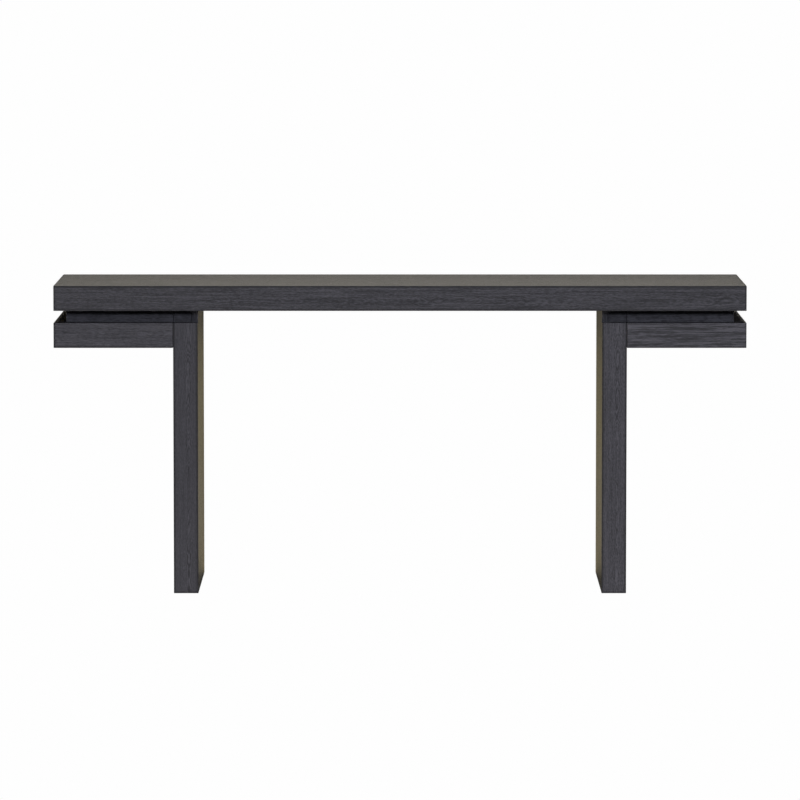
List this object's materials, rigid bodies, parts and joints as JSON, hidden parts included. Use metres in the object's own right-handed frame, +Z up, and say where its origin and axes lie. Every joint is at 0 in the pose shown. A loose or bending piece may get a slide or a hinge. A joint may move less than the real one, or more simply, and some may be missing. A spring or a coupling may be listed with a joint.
{
  "type": "console table",
  "caption": "Long narrow console table with a thick box top on slab legs, each leg carrying a short cantilevered arm below a shadow gap; screw-in levelling feet.",
  "frame": {"origin": "on the floor, under the middle of the table", "axes": "+X along the table's length to the right as seen from the front, +Y from the front to the back, +Z up; the front faces -Y"},
  "size_m": [1.829, 0.457, 0.816],
  "materials": {
    "stained_oak": "open-grain wire-brushed oak veneer on board, stained charcoal, low-sheen matte lacquer",
    "core_wood": "unfinished planed softwood and plywood, hidden inside the boxes",
    "zinc_steel": "bright zinc-plated steel hardware",
    "foot_nylon": "black moulded nylon pad on a zinc-plated stud"
  },
  "bodies": {
    "table": {"left_arm_back_edge": "stained_oak", "left_arm_bottom_panel": "stained_oak", "left_arm_cleat": "core_wood", "left_arm_end_panel": "stained_oak", "left_arm_front_edge": "stained_oak", "left_arm_top_panel": "stained_oak", "left_back_foot_insert": "zinc_steel", "left_bolt_1": "zinc_steel", "left_bolt_2": "zinc_steel", "left_bolt_3": "zinc_steel", "left_bolt_4": "zinc_steel", "left_front_foot_insert": "zinc_steel", "left_leg_back_edge": "stained_oak", "left_leg_base_board": "stained_oak", "left_leg_front_edge": "stained_oak", "left_leg_inner_panel": "stained_oak", "left_leg_outer_panel": "stained_oak", "left_leg_top_rail": "stained_oak", "left_mounting_block": "core_wood", "left_neck_block": "stained_oak", "left_nut_plate": "zinc_steel", "left_spacer": "stained_oak", "right_arm_back_edge": "stained_oak", "right_arm_bottom_panel": "stained_oak", "right_arm_cleat": "core_wood", "right_arm_end_panel": "stained_oak", "right_arm_front_edge": "stained_oak", "right_arm_top_panel": "stained_oak", "right_back_foot_insert": "zinc_steel", "right_bolt_1": "zinc_steel", "right_bolt_2": "zinc_steel", "right_bolt_3": "zinc_steel", "right_bolt_4": "zinc_steel", "right_front_foot_insert": "zinc_steel", "right_leg_back_edge": "stained_oak", "right_leg_base_board": "stained_oak", "right_leg_front_edge": "stained_oak", "right_leg_inner_panel": "stained_oak", "right_leg_outer_panel": "stained_oak", "right_leg_top_rail": "stained_oak", "right_mounting_block": "core_wood", "right_neck_block": "stained_oak", "right_nut_plate": "zinc_steel", "right_spacer": "stained_oak", "top_back_edge": "stained_oak", "top_back_rail": "core_wood", "top_face_panel": "stained_oak", "top_front_edge": "stained_oak", "top_front_rail": "core_wood", "top_left_end": "stained_oak", "top_rib_1": "core_wood", "top_rib_2": "core_wood", "top_rib_3": "core_wood", "top_right_end": "stained_oak", "top_underside_panel": "stained_oak"},
    "left_front_foot": {"left_front_foot": "foot_nylon"},
    "left_back_foot": {"left_back_foot": "foot_nylon"},
    "right_front_foot": {"right_front_foot": "foot_nylon"},
    "right_back_foot": {"right_back_foot": "foot_nylon"}
  },
  "joints": [
    {"name": "left_front_foot_screw", "type": "slide", "parent": "table", "child": "left_front_foot", "axis": [0, 0, -1], "range_m": [0, 0.01]},
    {"name": "left_back_foot_screw", "type": "slide", "parent": "table", "child": "left_back_foot", "axis": [0, 0, -1], "range_m": [0, 0.01]},
    {"name": "right_front_foot_screw", "type": "slide", "parent": "table", "child": "right_front_foot", "axis": [0, 0, -1], "range_m": [0, 0.01]},
    {"name": "right_back_foot_screw", "type": "slide", "parent": "table", "child": "right_back_foot", "axis": [0, 0, -1], "range_m": [0, 0.01]}
  ]
}
